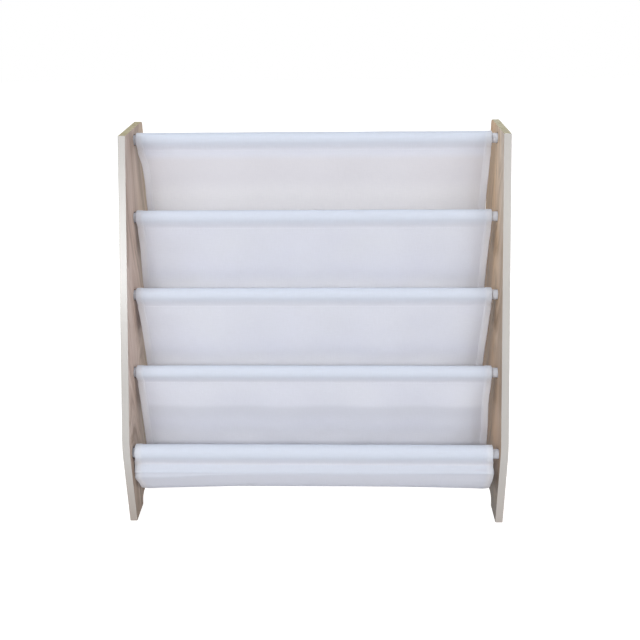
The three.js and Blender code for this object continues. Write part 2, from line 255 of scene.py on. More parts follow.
class Nodes:
    """Adds nodes to one tree. A value that is another node's socket is linked."""

    def __init__(self, tree):
        self.tree = tree
        tree.nodes.clear()

    def add(self, kind, values=None, **settings):
        node = self.tree.nodes.new("ShaderNode" + kind)
        for name, value in settings.items():
            setattr(node, name, value)
        for key, value in (values or {}).items():
            self.put(node.inputs[key], value)
        return node

    def put(self, socket, value):
        if isinstance(value, bpy.types.NodeSocket):
            self.tree.links.new(value, socket)
        else:
            socket.default_value = value

    def place(self):
        return self.add("TexCoord").outputs["Object"]

    def noise(self, vector, scale, detail=3.0, roughness=0.5, distortion=0.0):
        """Soft noise. A scale of three numbers stretches it."""
        if isinstance(scale, tuple):
            vector = self.add("Mapping", {"Vector": vector, "Scale": scale}).outputs["Vector"]
            scale = 1.0
        values = {
            "Vector": vector, "Scale": scale, "Detail": detail,
            "Roughness": roughness, "Distortion": distortion,
        }
        return self.add("TexNoise", values).outputs["Fac"]

    def ramp(self, factor, stops):
        node = self.add("ValToRGB", {"Fac": factor})
        elements = node.color_ramp.elements
        while len(elements) < len(stops):
            elements.new(0.5)
        for element, (position, colour) in zip(elements, stops):
            element.position = position
            element.color = (*colour, 1)
        return node.outputs["Color"]

    def blend(self, factor, first, second):
        """From the first colour to the second over the middle of a noise."""
        return self.ramp(factor, [(0.3, first), (0.7, second)])

    def range(self, value, low, high, to_low, to_high):
        values = {
            "Value": value, "From Min": low, "From Max": high, "To Min": to_low, "To Max": to_high,
        }
        return self.add("MapRange", values).outputs["Result"]

    def calc(self, operation, first, second=0):
        node = self.add("Math", {0: first, 1: second}, operation=operation)
        return node.outputs["Value"]

    def times(self, first, second):
        return self.calc("MULTIPLY", first, second)

    def parts(self, vector):
        return self.add("SeparateXYZ", {"Vector": vector}).outputs

    def mix(self, factor, first, second, blend="MIX"):
        node = self.add("Mix", data_type="RGBA", blend_type=blend)
        for key, value in ((0, factor), (6, first), (7, second)):
            value = (*value, 1) if isinstance(value, tuple) and len(value) == 3 else value
            self.put(node.inputs[key], value)
        return node.outputs[2]

    def bump(self, height, distance, strength=1.0, normal=None):
        values = {"Height": height, "Distance": distance, "Strength": strength}
        if normal is not None:
            values["Normal"] = normal
        return self.add("Bump", values).outputs["Normal"]


class Shader(Nodes):
    """The nodes of a new material."""

    def __init__(self, name):
        self.material = bpy.data.materials.new(name)
        self.material.use_nodes = True
        super().__init__(self.material.node_tree)

    def finish(self, surface):
        self.add("OutputMaterial", {"Surface": surface})
        return self.material

    def principled(self, values):
        return self.finish(self.add("BsdfPrincipled", values).outputs["BSDF"])


def colour(red, green, blue):
    """A display colour, 0 to 255 each, as the linear colour that shaders use."""
    shares = (value / 255 for value in (red, green, blue))
    return tuple(((s + 0.055) / 1.055) ** 2.4 if s > 0.04045 else s / 12.92 for s in shares)


# materials


def board_material(name, tones, seed, upright=(), inward=()):
    """Printed wood grain that runs upright, with soft broad bands, fine streaks and pores.

    The tones are dark, middle and light. Each entry of upright or inward is a height over the
    floor or a depth behind the front edge, in metres, and the share of red, green and blue that
    is left there: painted shade, darker towards the floor and deep behind the front edge."""
    shader = Shader(name)
    dark, middle, light = (colour(*tone) for tone in tones)
    place = shader.place()
    moved = shader.add("VectorMath", {0: place, 1: (seed, seed, seed)}, operation="ADD")
    moved = moved.outputs["Vector"]
    warp = shader.noise(moved, (7, 7, 1.6), 2.0)
    warped = shader.add("VectorMath", {0: moved, 1: warp}, operation="ADD").outputs["Vector"]
    bands = shader.noise(warped, (26, 26, 1.1), 4.0, 0.55)
    streaks = shader.noise(moved, (210, 210, 5), 5.0, 0.6)
    pores = shader.noise(moved, (1300, 1300, 45), 2.0, 0.5)
    grain = shader.times(bands, BAND_SHARE)
    grain = shader.calc("ADD", grain, shader.times(streaks, 1 - BAND_SHARE))
    tone = shader.ramp(grain, [(0.36, dark), (0.5, middle), (0.64, light)])
    # Painted shade: ramps darken the tone towards the floor and deep behind the front edge, where the
    # wood lies in shade; deep in, they also warm it like light bounced off the wood.
    if upright:
        parts = shader.parts(place)
        level = parts["Z"]
        leaning = shader.calc("MAXIMUM", shader.calc("SUBTRACT", level, UPRIGHT_HEIGHT), 0)
        lean = (back_y - front_y - TOP_DEPTH) / (side_height - UPRIGHT_HEIGHT)
        behind = shader.calc("SUBTRACT", parts["Y"], shader.times(leaning, lean))
        behind = shader.calc("SUBTRACT", behind, front_y)
        uneven = shader.range(bands, 0.3, 0.7, -SHADE_WANDER, SHADE_WANDER)
        for along, whole, stops in ((level, side_height, upright), (behind, SHADE_DEPTH, inward)):
            share = shader.times(shader.calc("ADD", along, uneven), 1 / whole)
            kept = shader.ramp(share, [(stop / whole, left) for stop, left in stops])
            tone = shader.mix(1.0, tone, kept, "MULTIPLY")
            uneven = shader.times(uneven, 0.3)
    pore_mask = shader.range(pores, 0.60, 0.72, 0.0, 0.35)
    tone = shader.mix(pore_mask, tone, dark)
    height = shader.calc("SUBTRACT", streaks, shader.times(pore_mask, 0.8))
    return shader.principled({
        "Base Color": tone,
        "Roughness": shader.range(streaks, 0.3, 0.7, 0.5, 0.62),
        "Normal": shader.bump(height, GRAIN_RELIEF),
    })


def strip_material(name, floor_shade_tone):
    """Pale, semi-gloss strip on a front edge, with painted shade: a darker tone towards the floor."""
    shader = Shader(name)
    place = shader.place()
    cloud = shader.noise(place, (14, 14, 4), 4.0)
    grain = shader.noise(place, (500, 500, 14), 3.0)
    tone = shader.blend(cloud, colour(176, 173, 170), colour(183, 180, 177))
    tone = shader.mix(shader.range(grain, 0.5, 0.8, 0.0, 0.25), tone, colour(172, 168, 163))
    level = shader.parts(place)["Z"]
    # Painted shade: the tone darkens towards the floor.
    tone = shader.mix(shader.range(level, 0, STRIP_SHADE_REACH, 0.5, 0.0), tone, floor_shade_tone)
    return shader.principled({
        "Base Color": tone,
        "Roughness": shader.range(cloud, 0.3, 0.7, 0.22, 0.28),
        "Specular IOR Level": 0.38,
        "Normal": shader.bump(grain, STRIP_RELIEF),
    })


def rod_material():
    """White paint on steel, with a faint orange-peel surface."""
    shader = Shader("rod_paint")
    place = shader.place()
    cloud = shader.noise(place, 40.0, 3.0)
    peel = shader.noise(place, 900.0, 2.0)
    tone = shader.blend(cloud, colour(205, 209, 219), colour(213, 217, 226))
    return shader.principled({
        "Base Color": tone,
        "Roughness": shader.range(cloud, 0.3, 0.7, 0.26, 0.34),
        "Normal": shader.bump(peel, PAINT_RELIEF),
    })


def plastic_material():
    """Pale moulded plastic of the inserts."""
    shader = Shader("insert_plastic")
    place = shader.place()
    grain = shader.noise(place, 1500.0, 2.0)
    cloud = shader.noise(place, 60.0)
    tone = shader.blend(cloud, (0.60, 0.60, 0.59), (0.66, 0.66, 0.65))
    normal = shader.bump(grain, PLASTIC_RELIEF)
    return shader.principled({"Base Color": tone, "Roughness": 0.5, "Normal": normal})


def zinc_material():
    """Zinc-plated steel of the screws, with turning marks."""
    shader = Shader("screw_zinc")
    place = shader.place()
    mottle = shader.noise(place, 420.0, 4.0)
    tone = shader.blend(mottle, (0.50, 0.51, 0.52), (0.66, 0.67, 0.67))
    marks = shader.noise(place, (4000, 300, 300), 2.0)
    return shader.principled({
        "Base Color": tone,
        "Metallic": 1.0,
        "Roughness": shader.range(mottle, 0.3, 0.7, 0.28, 0.42),
        "Normal": shader.bump(marks, ZINC_RELIEF),
    })


def canvas_material():
    """White plain-weave canvas. Its first map gives metres across and along the cloth. The two
    others give shares of painted light and shade: of the cool tone on the sleeves and the last
    pocket's front and the warmer one on the first sheet, and of the lighter foot of a sheet and
    the dimmer parts of the last pocket."""
    shader = Shader("canvas_weave")

    def mapped(name):
        uv = shader.add("UVMap", uv_map=name).outputs["UV"]
        return uv, shader.parts(uv)

    cloth, parts = mapped("cloth")
    turn = math.pi / THREAD_PITCH

    def threads(along, across):
        """Threads that run along one way and pass over and under every other one."""
        row = shader.calc("SINE", shader.times(parts[across], turn))
        over = shader.calc("SINE", shader.times(parts[along], turn))
        over = shader.range(over, -1, 1, 0.3, 1)
        return shader.times(shader.calc("ABSOLUTE", row), over)

    warp = threads("X", "Y")
    weft = threads("Y", "X")
    slub = shader.noise(cloth, (900, 60, 1), 3.0)
    slub_down = shader.noise(cloth, (60, 900, 1), 3.0)
    weave = shader.calc("MAXIMUM", warp, weft)
    uneven = shader.times(shader.calc("ADD", slub, slub_down), 0.5)
    height = shader.calc("ADD", shader.times(weave, 0.6), uneven)
    creases = shader.noise(cloth, (26, 34, 1), 4.0, 0.6, 0.4)
    cloud = shader.noise(cloth, (9, 13, 1), 3.0)
    tone = shader.blend(cloud, colour(227, 229, 239), colour(229, 231, 239))
    # Painted light: a cooler tone on the sleeves and the last pocket's front, which face the cool light
    # from above, and a warmer one on the first sheet, for the light that passes through it.
    kind = mapped("tint")[1]
    tone = shader.mix(kind["X"], tone, colour(224, 230, 241))
    tone = shader.mix(kind["Y"], tone, colour(224, 223, 228))
    # Painted light and shade: each sheet's foot is lighter against the shade of the sleeve in front of
    # it, and the last pocket is dimmer where it lies in shade.
    light_and_shade = mapped("wear")[1]
    tone = shader.mix(shader.times(light_and_shade["X"], 0.38), tone, colour(250, 250, 250))
    tone = shader.mix(light_and_shade["Y"], tone, colour(218, 220, 229))
    # Painted light: the side hems take a lighter, warmer tone, for the light bounced off the wood
    # beside them.
    from_middle = shader.calc("ABSOLUTE", parts["X"])
    hem_line = cloth_half_width - SIDE_HEM
    hem = shader.range(from_middle, hem_line - HEM_BLEND[0], hem_line + HEM_BLEND[1], 0, 1)
    hem_painted_light = shader.mix(kind["X"], colour(233, 232, 236), colour(231, 235, 243))
    tone = shader.mix(hem, tone, hem_painted_light)
    tone = shader.mix(shader.range(uneven, 0.4, 0.6, 0.0, 0.12), tone, colour(206, 206, 214))
    normal = shader.bump(creases, CREASE_RELIEF, 0.5)
    normal = shader.bump(height, WEAVE_RELIEF, 0.6, normal)
    surface = shader.add("BsdfPrincipled", {
        "Base Color": tone,
        "Roughness": 0.9,
        "Specular IOR Level": 0.2,
        "Sheen Weight": 0.1,
        "Sheen Roughness": 0.5,
        "Normal": normal,
    })
    through = shader.add("BsdfTranslucent", {"Color": tone, "Normal": normal})
    values = {0: 0.28, 1: surface.outputs[0], 2: through.outputs[0]}
    return shader.finish(shader.add("MixShader", values).outputs[0])


def thread_material():
    """White sewing thread."""
    shader = Shader("sewing_thread")
    place = shader.place()
    twist = shader.noise(place, 5200.0, 2.0)
    tone = shader.blend(twist, colour(214, 217, 228), colour(240, 241, 247))
    normal = shader.bump(twist, THREAD_RELIEF)
    return shader.principled({"Base Color": tone, "Roughness": 0.6, "Normal": normal})


# rigid pieces


def link(name, mesh, kinds):
    """A new piece with this mesh and these materials."""
    piece = bpy.data.objects.new(name, mesh)
    bpy.context.scene.collection.objects.link(piece)
    for material in kinds:
        mesh.materials.append(material)
    return piece


def even_normals(piece):
    """Soft shading over small roundings, with the large faces kept flat."""
    piece.data.shade_smooth()
    piece.data.set_sharp_from_angle(angle=math.radians(40))
    modifier = piece.modifiers.new("even normals", "WEIGHTED_NORMAL")
    modifier.keep_sharp = True
    modifier.weight = 60


def replace_solid(piece, node):
    """Lets a piece stand for one solid."""
    even_normals(piece)
    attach(piece, "root")
    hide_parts(node)


def finished(shape, name):
    """The shape as a mesh."""
    mesh = bpy.data.meshes.new(name)
    shape.to_mesh(mesh)
    shape.free()
    return mesh


def arc_points(centre, radius, start, end, count):
    angles = np.linspace(start, end, count)
    return [(centre[0] + radius * math.cos(a), centre[1] + radius * math.sin(a)) for a in angles]


def front_edge(inset):
    """The front edge of a side from the floor up, moved inward: upright, a bend, leaning back."""
    lean = math.atan2(back_y - front_y - TOP_DEPTH, side_height - UPRIGHT_HEIGHT)
    radius = UPRIGHT_BLEND - inset
    centre = (front_y + UPRIGHT_BLEND, UPRIGHT_HEIGHT - UPRIGHT_BLEND * math.tan(lean / 2))
    top_y = centre[0] + (math.sin(lean) * (side_height - centre[1]) - radius) / math.cos(lean)
    bend = arc_points(centre, radius, math.pi, math.pi - lean, 24)
    return [(front_y + inset, 0), *bend, (top_y, side_height)]


def side_outline():
    points = front_edge(BAND_THICKNESS + BAND_GLUE)
    corner = (back_y - TOP_CORNER, side_height - TOP_CORNER)
    points += arc_points(corner, TOP_CORNER, math.pi / 2, 0, 8)
    points += [(back_y, 0), (back_y - FOOT_LENGTH, 0)]
    rear = (back_y - FOOT_LENGTH - ARCH_HEIGHT, 0)
    front = (front_y + FOOT_LENGTH + ARCH_HEIGHT, 0)
    points += arc_points(rear, ARCH_HEIGHT, 0, math.pi / 2, 14)[1:]
    points += arc_points(front, ARCH_HEIGHT, math.pi / 2, math.pi, 14)
    return points


def plate(name, outline, sign, rounding):
    """A flat board of this side view on one side, its long edges rounded."""
    low_x, high_x = sorted((sign * inner_x, sign * outer_x))
    shape = bmesh.new()
    left = [shape.verts.new((low_x, y, z)) for y, z in outline]
    right = [shape.verts.new((high_x, y, z)) for y, z in outline]
    caps = [shape.faces.new(left), shape.faces.new(right[::-1])]
    count = len(outline)
    for i in range(count):
        after = (i + 1) % count
        shape.faces.new((left[i], right[i], right[after], left[after]))
    bmesh.ops.recalc_face_normals(shape, faces=shape.faces)
    rims = {edge for cap in caps for edge in cap.edges}
    bmesh.ops.bevel(
        shape, geom=list(rims), offset=rounding, segments=3, profile=0.5, affect="EDGES",
        clamp_overlap=True,
    )
    return finished(shape, name)


def turned_mesh(name, profile, sign, centres, segments=48, phase=0.0):
    """A profile of (x, radius) turned round a line along X, for each centre (y, z)."""
    shape = bmesh.new()
    for y, z in centres:
        rings = []
        for x, radius in profile:
            if radius == 0:
                rings.append([shape.verts.new((sign * x, y, z))] * segments)
                continue
            rings.append([
                shape.verts.new((sign * x, y + radius * math.cos(angle), z + radius * math.sin(angle)))
                for angle in (phase + 2 * math.pi * k / segments for k in range(segments))
            ])
        for ring, after in zip(rings, rings[1:]):
            for k in range(segments):
                n = (k + 1) % segments
                corners = dict.fromkeys((ring[k], ring[n], after[n], after[k]))
                if len(corners) > 2:
                    shape.faces.new(corners)
    bmesh.ops.remove_doubles(shape, verts=shape.verts, dist=1e-7)
    bmesh.ops.recalc_face_normals(shape, faces=shape.faces)
    return finished(shape, name)


def cut(piece, cutter_mesh, kinds):
    """Takes the cutter's shape out of the piece, and gives it its materials again."""
    cutter = link("cutter", cutter_mesh, [])
    modifier = piece.modifiers.new("cut", "BOOLEAN")
    modifier.operation = "DIFFERENCE"
    modifier.solver = "EXACT"
    modifier.object = cutter
    graph = bpy.context.evaluated_depsgraph_get()
    result = bpy.data.meshes.new_from_object(piece.evaluated_get(graph))
    piece.modifiers.clear()
    old = piece.data
    piece.data = result
    bpy.data.meshes.remove(old)
    bpy.data.objects.remove(cutter)
    bpy.data.meshes.remove(cutter_mesh)
    result.materials.clear()
    for material in kinds:
        result.materials.append(material)


def centre_of(node):
    low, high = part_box(node)
    return ((low[1] + high[1]) / 2, (low[2] + high[2]) / 2)


ROD_NUMBERS = range(1, 6)
rods = [centre_of(f"rod_{number}") for number in ROD_NUMBERS]
rod_low, rod_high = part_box("rod_1")
rod_radius = (rod_high[2] - rod_low[2]) / 2
rod_half = rod_high[0]
side_low, side_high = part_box("side_panel_right")
inner_x = side_low[0]
outer_x, back_y, side_height = side_high
front_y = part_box("front_edge_band_right")[0][1]
cloth_low, cloth_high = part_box("sling_sleeve_1")
cloth_half_width = (cloth_high[0] - cloth_low[0]) / 2
cloth_middle = (cloth_high[0] + cloth_low[0]) / 2

materials = {
    # The two inner faces are one wood print: their different tones are painted light, and the lists
    # after each seed are painted shade, darker towards the floor (on the left also near the top) and
    # darker and warmer deep behind the front edge.
    "board_left": board_material(
        "board_grain_and_shade_left", [(160, 137, 122), (197, 174, 161), (214, 196, 185)], 3.1,
        [(0.01, (0.37, 0.32, 0.25)), (0.13, (0.80, 0.79, 0.75)), (0.25, (1, 1, 1)),
         (0.46, (1, 1, 1)), (0.56, (0.86, 0.86, 0.86))],
        [(0.03, (0.98, 0.98, 0.98)), (0.08, (1, 0.98, 0.95)), (0.14, (0.96, 0.90, 0.72))],
    ),
    "board_right": board_material(
        "board_grain_and_shade_right", [(168, 143, 117), (206, 182, 156), (220, 200, 178)], 8.4,
        [(0.01, (0.08, 0.07, 0.06)), (0.06, (0.24, 0.20, 0.16)), (0.13, (0.72, 0.62, 0.54)),
         (0.30, (0.64, 0.58, 0.53)), (0.42, (0.81, 0.75, 0.68)), (0.52, (1, 1, 1))],
        [(0.02, (0.86, 0.91, 1)), (0.055, (1, 0.98, 0.95)), (0.09, (0.98, 0.84, 0.64)),
         (0.14, (0.72, 0.57, 0.40))],
    ),
    # The two front strips are one finish; their darker low tones, the left one darker still, are
    # painted shade.
    "strip_left": strip_material("front_strip_left_paint_and_shade", colour(142, 121, 106)),
    "strip_right": strip_material("front_strip_right_paint_and_shade", colour(172, 160, 152)),
    "rod": rod_material(),
    "insert": plastic_material(),
    "screw": zinc_material(),
    "canvas": canvas_material(),
    "thread": thread_material(),
}
# The edges of the two sides are one finish; the right one's darker tones are painted shade.
PLAIN_BOARDS = {
    "board_outer": ("board_grain_outer", [(174, 151, 130), (198, 176, 156), (212, 193, 174)], 6.3),
    "edge_left": ("board_edge_left_lit", [(137, 125, 88), (157, 147, 110), (172, 163, 129)], 5.2),
    "edge_right": ("board_edge_right_shaded", [(128, 117, 80), (148, 139, 102), (163, 155, 121)], 5.2),
    "board_core": ("board_core", [(92, 76, 62), (120, 102, 84), (140, 122, 102)], 1.7),
}
for key, plain in PLAIN_BOARDS.items():
    materials[key] = board_material(*plain)


def seat_cutters(sign):
    """The blind seats, screw holes and countersinks of one side, as one cutter."""
    head = SCREW_HEAD + SCREW_FIT
    rim_x = outer_x - SCREW_SINK - SCREW_RIM - COUNTERSINK_GAP
    profile = [
        (inner_x - CUT_OVERRUN, 0), (inner_x - CUT_OVERRUN, SEAT_RADIUS),
        (inner_x + SEAT_DEPTH, SEAT_RADIUS), (inner_x + SEAT_DEPTH, SCREW_HOLE),
        (rim_x - SCREW_CONE, SCREW_HOLE), (rim_x, head), (outer_x + CUT_OVERRUN, head),
        (outer_x + CUT_OVERRUN, 0),
    ]
    return turned_mesh("cutter", profile, sign, rods)


def side_panel(side, sign):
    """One side. Its inner face, edges, seats and outer face each have a material."""
    name = f"board_side_{side}"
    mesh = plate(name, side_outline(), sign, BOARD_EDGE_ROUND)
    kinds = [materials[kind] for kind in (f"board_{side}", f"edge_{side}", "board_core", "board_outer")]
    piece = link(name, mesh, kinds)
    cut(piece, seat_cutters(sign), kinds)
    middle_x = (inner_x + outer_x) / 2
    face_reach = (outer_x - inner_x) / 2 - FACE_MARGIN
    seat_reach = SEAT_RADIUS + SEAT_MARGIN
    inner, edge, core, outer = range(4)
    for face in piece.data.polygons:
        x, y, z = face.center
        on_face = abs(face.normal.x) > 0.6 and abs(abs(x) - middle_x) > face_reach
        in_seat = any(math.dist((y, z), rod) < seat_reach for rod in rods)
        on_side = outer if abs(x) > middle_x else inner
        face.material_index = core if in_seat else on_side if on_face else edge
    replace_solid(piece, f"side_panel_{side}")


def front_strip(side, sign):
    name = f"front_strip_{side}"
    outline = front_edge(0) + front_edge(BAND_THICKNESS)[::-1]
    mesh = plate(name, outline, sign, BAND_EDGE_ROUND)
    piece = link(name, mesh, [materials[f"strip_{side}"]])
    replace_solid(piece, f"front_edge_band_{side}")


def rod_piece(number):
    inner = rod_radius - ROD_WALL
    profile = [
        (-rod_half, inner), (-rod_half, rod_radius - ROD_END_ROUND),
        (-rod_half + ROD_END_ROUND, rod_radius), (rod_half - ROD_END_ROUND, rod_radius),
        (rod_half, rod_radius - ROD_END_ROUND), (rod_half, inner), (-rod_half, inner),
    ]
    name = f"rod_tube_{number}"
    mesh = turned_mesh(name, profile, 1, [rods[number - 1]], 64)
    piece = link(name, mesh, [materials["rod"]])
    replace_solid(piece, f"rod_{number}")


def screw_piece(side, sign, number):
    centre = [rods[number - 1]]
    face_x = outer_x - SCREW_SINK
    end_x = face_x - SCREW_LENGTH
    rim_x = face_x - SCREW_RIM
    edge = SCREW_EDGE_ROUND
    profile = [
        (end_x, 0), (end_x, SCREW_SHANK), (rim_x - SCREW_CONE, SCREW_SHANK), (rim_x, SCREW_HEAD),
        (face_x - edge, SCREW_HEAD), (face_x, SCREW_HEAD - edge), (face_x, 0),
    ]
    name = f"screw_piece_{side}_{number}"
    piece = link(name, turned_mesh(name, profile, sign, centre), [materials["screw"]])
    corner = SOCKET_FLATS / 2 / math.cos(math.pi / 6)
    low_x, high_x = face_x - SOCKET_DEPTH, face_x + CUT_OVERRUN
    socket = [(low_x, 0), (low_x, corner), (high_x, corner), (high_x, 0)]
    cutter = turned_mesh("cutter", socket, sign, centre, 6, math.pi / 6)
    cut(piece, cutter, [materials["screw"]])
    replace_solid(piece, f"screw_{side}_{number}")


# canvas


def smooth_step(value):
    value = np.clip(value, 0, 1)
    return value * value * (3 - 2 * value)


def rise_from(value, start, width):
    """0 up to the start and 1 after the width, with a smooth rise between."""
    return smooth_step((value - start) / width)


def stretch(value, start, end):
    """1 between two places where it comes and goes, each with the length that it takes."""
    return rise_from(value, *start) * (1 - rise_from(value, *end))


def unit(vectors):
    return vectors / np.linalg.norm(vectors, axis=-1, keepdims=True)


def distances(points):
    """How far along a line of points each of them lies."""
    return np.concatenate([[0], np.cumsum(np.linalg.norm(np.diff(points, axis=0), axis=1))])


def eased(x, stations, values):
    """Values between stations, joined without corners."""
    stations = np.asarray(stations, float)
    values = np.asarray(values, float)
    slopes = np.gradient(values, stations)
    slopes[0] = slopes[-1] = 0
    k = np.clip(np.searchsorted(stations, x, side="right") - 1, 0, len(stations) - 2)
    width = stations[k + 1] - stations[k]
    t = np.clip((x - stations[k]) / width, 0, 1)
    return (
        (2 * t**3 - 3 * t**2 + 1) * values[k] + (t**3 - 2 * t**2 + t) * width * slopes[k]
        + (-2 * t**3 + 3 * t**2) * values[k + 1] + (t**3 - t**2) * width * slopes[k + 1]
    )


def bezier(start, out, into, end, count):
    t = np.linspace(0, 1, count)[:, None]
    start, out, into, end = (np.asarray(p, float) for p in (start, out, into, end))
    return (1 - t)**3 * start + 3 * (1 - t)**2 * t * out + 3 * (1 - t) * t**2 * into + t**3 * end


def turn_to(angle, radius):
    return np.array([radius * math.cos(angle), radius * math.sin(angle)])


def sleeve_path(index):
    """Side view of the canvas round one rod, from its rear foot over the top to its front foot."""
    centre = np.array(rods[index]) + (0, SLEEVE_LIFTS[index])
    drop = SEAM_DROPS[index] + SLEEVE_LIFTS[index]
    radius = SLEEVE_RADII[index]
    join = turn_to(SLEEVE_JOIN, radius)
    tangent = np.array([-math.sin(SLEEVE_JOIN), math.cos(SLEEVE_JOIN)])
    over = np.array(arc_points((0, 0), radius, SLEEVE_JOIN, math.pi - SLEEVE_JOIN, OVER_ROWS))
    layers = []
    for side in (1, -1):
        foot = np.array([side * HALF_GAP - SEAM_LEAD, -drop])
        web_top = foot + (0, WEB)
        into = join * (side, 1) - tangent * (side, 1) * SLEEVE_INTO
        rise = bezier(web_top, web_top + (0, WEB_RISE), into, join * (side, 1), RISE_ROWS)
        layers.append(np.concatenate([np.linspace(foot, web_top, WEB_ROWS)[:-1], rise]))
    return centre + np.concatenate([layers[0], over[1:-1], layers[1][::-1]])


def touch_angle(point, radius):
    """Where a line from the point touches a circle about the origin, on its left-hand side."""
    return math.atan2(point[1], point[0]) + math.acos(radius / math.hypot(*point))


def pocket_path(index):
    """Side view of one pocket in four stretches: back, bottom, rising front and crease to seam."""
    behind = np.array(rods[index])
    front = np.array(rods[index + 1])
    start = behind + (-HALF_GAP - SEAM_LEAD, -SEAM_DROPS[index])
    end = front + (HALF_GAP - SEAM_LEAD, -SEAM_DROPS[index + 1])
    is_last = index == len(rods) - 2
    crease = front + (LAST_CREASE if is_last else (CREASE_SETBACK, -CREASE_DROP))
    radius = LAST_RADIUS if is_last else POCKET_RADIUS
    centre = front + (LAST_CENTRE if is_last else (POCKET_SETBACK, POCKET_RADIUS - POCKET_DROP))
    rear = centre + (radius, 0)
    fall = start[1] - rear[1]
    lean = -turn_to(math.pi / 2 - FORWARD_LEANS[index], 1)
    back = bezier(start, start + lean * fall * 0.5, rear + (0, fall * 0.3), rear, BACK_ROWS)
    last = touch_angle(crease - centre, radius) - 2 * math.pi
    bottom = np.array(arc_points(tuple(centre), radius, 0, last, BOTTOM_ROWS))
    slope = unit(crease - bottom[-1])
    above = front + LAST_SHOULDER if is_last else end
    up = unit(above - crease)
    bend_start = crease - slope * CREASE_ROUND
    bend_end = crease + up * CREASE_ROUND
    rising = np.linspace(bottom[-1], bend_start, RISING_ROWS)
    bend = bezier(bend_start, crease, crease, bend_end, BEND_ROWS)
    closing = np.linspace(bend_end, end, CLOSING_ROWS)
    if is_last:
        closing = bezier(bend_end, above + SHOULDER_OUT, end - (0, SEAM_INTO), end, LAST_ROWS)
    return back, bottom, rising, np.concatenate([bend, closing[1:]])


def last_flap(foot, front):
    """The end of the cloth, which lies on the last pocket's front under the seam."""
    towards = unit(np.gradient(front, axis=0))
    beside = front + np.stack([-towards[:, 1], towards[:, 0]], axis=1) * LAYER_GAP
    beside = beside[::-1] + (foot - beside[-1])
    along = distances(beside)
    places = np.linspace(0, min(LAST_FLAP, along[-1]), FLAP_ROWS)
    return np.stack([np.interp(places, along, beside[:, axis]) for axis in (0, 1)], axis=1)


class Strip:
    """The long canvas strip: a row for each point of its side view, with what shapes that row."""

    def __init__(self):
        self.points = []
        self.values = []

    def add(self, points, **values):
        """Appends points. Each value is one number for all of them or a number for each."""
        skip = 1 if self.points else 0
        for i in range(skip, len(points)):
            self.points.append(points[i])
            self.values.append({
                key: float(value[i]) if np.ndim(value) else float(value)
                for key, value in values.items()
            })

    def column(self, key):
        return np.array([row.get(key, 0.0) for row in self.values])


def seam_draw(index):
    """How far the left and the right edge are drawn in at one seam."""
    return LAST_SEAM_DRAW if index == len(rods) - 1 else SEAM_DRAW


def pocket_draw(index, shares):
    """How far the left and the right edge of one pocket are drawn in, along its side view."""
    front = LAST_FRONT_DRAW if index == len(rods) - 2 else FRONT_DRAW
    pairs = [
        seam_draw(index), UPPER_DRAW[index], LOWER_DRAW[index], LOWER_DRAW[index], *front,
        seam_draw(index + 1),
    ]
    return [eased(shares, DRAW_STATIONS, values) for values in zip(*pairs)]


def build_rows():
    strip = Strip()
    first = np.array(rods[0]) + (HALF_GAP - SEAM_LEAD, -SEAM_DROPS[0])
    strip.add(
        np.linspace(first + (FIRST_FLAP_LEAN, -END_HEM), first, HEM_ROWS),
        left=SEAM_DRAW[0], right=SEAM_DRAW[1], hem=1,
    )
    for index in range(len(rods)):
        loop = sleeve_path(index)
        low = (rods[index][1] + SLEEVE_END_START - loop[:, 1]) / SEAM_DROPS[index]
        to_seam = rise_from(low, *SLEEVE_DRAW_END)
        left, right = (
            at_rod + (at_seam - at_rod) * to_seam
            for at_rod, at_seam in zip(SLEEVE_DRAW, seam_draw(index))
        )
        strip.add(loop, sleeve=1 - smooth_step(low), left=left, right=right)
        if index == len(rods) - 1:
            flap = last_flap(loop[-1], closing[-LAST_ROWS:])
            left, right = LAST_SEAM_DRAW
            strip.add(flap, hem=1, cool=COOL_SHARE, left=left, right=right)
            break
        back, bottom, rising, closing = pocket_path(index)
        is_last = index == len(rods) - 2
        stretches = [
            (back, 0, 1), (bottom, 1, 1.35), (rising, 1.35, 1.8), (closing, 1.8, 2.0),
        ]
        for points, low_share, high_share in stretches:
            along = distances(points)
            shares = low_share + (high_share - low_share) * along / along[-1]
            left, right = pocket_draw(index, shares)
            strip.add(
                points,
                left=left,
                right=right,
                rise=eased(shares, STATIONS, HEM_RISE),
                valley=eased(shares, STATIONS, HEM_VALLEY),
                hang=stretch(shares, *HANG),
                droop=stretch(shares, *DROOP),
                crease=stretch(shares, *CREASE),
                share=shares,
                cool=COOL_SHARE * is_last * rise_from(shares, *COOL_START),
                pocket=index,
            )
    return strip


def build_columns():
    """Places across the cloth, closer together at the side hems."""
    near_edge = np.array(EDGE_COLUMNS) * MM
    inside = cloth_half_width - near_edge[-1]
    middle = np.linspace(-inside, inside, MIDDLE_COLUMNS + 2)[1:-1]
    right = (cloth_half_width - near_edge)[::-1]
    return np.concatenate([near_edge - cloth_half_width, middle, right])


def seam_rows(points):
    """The rows of the cloth at its seams, behind and in front under each rod."""
    rows = []
    for rod, drop in zip(rods, SEAM_DROPS):
        for side in (HALF_GAP, -HALF_GAP):
            foot = np.array(rod) + (side - SEAM_LEAD, -drop)
            rows.append(np.argmin(np.linalg.norm(points - foot, axis=1)))
    return rows


def wave(u, v, kind):
    return noise.noise((u * kind[0], v * kind[1], kind[2]))


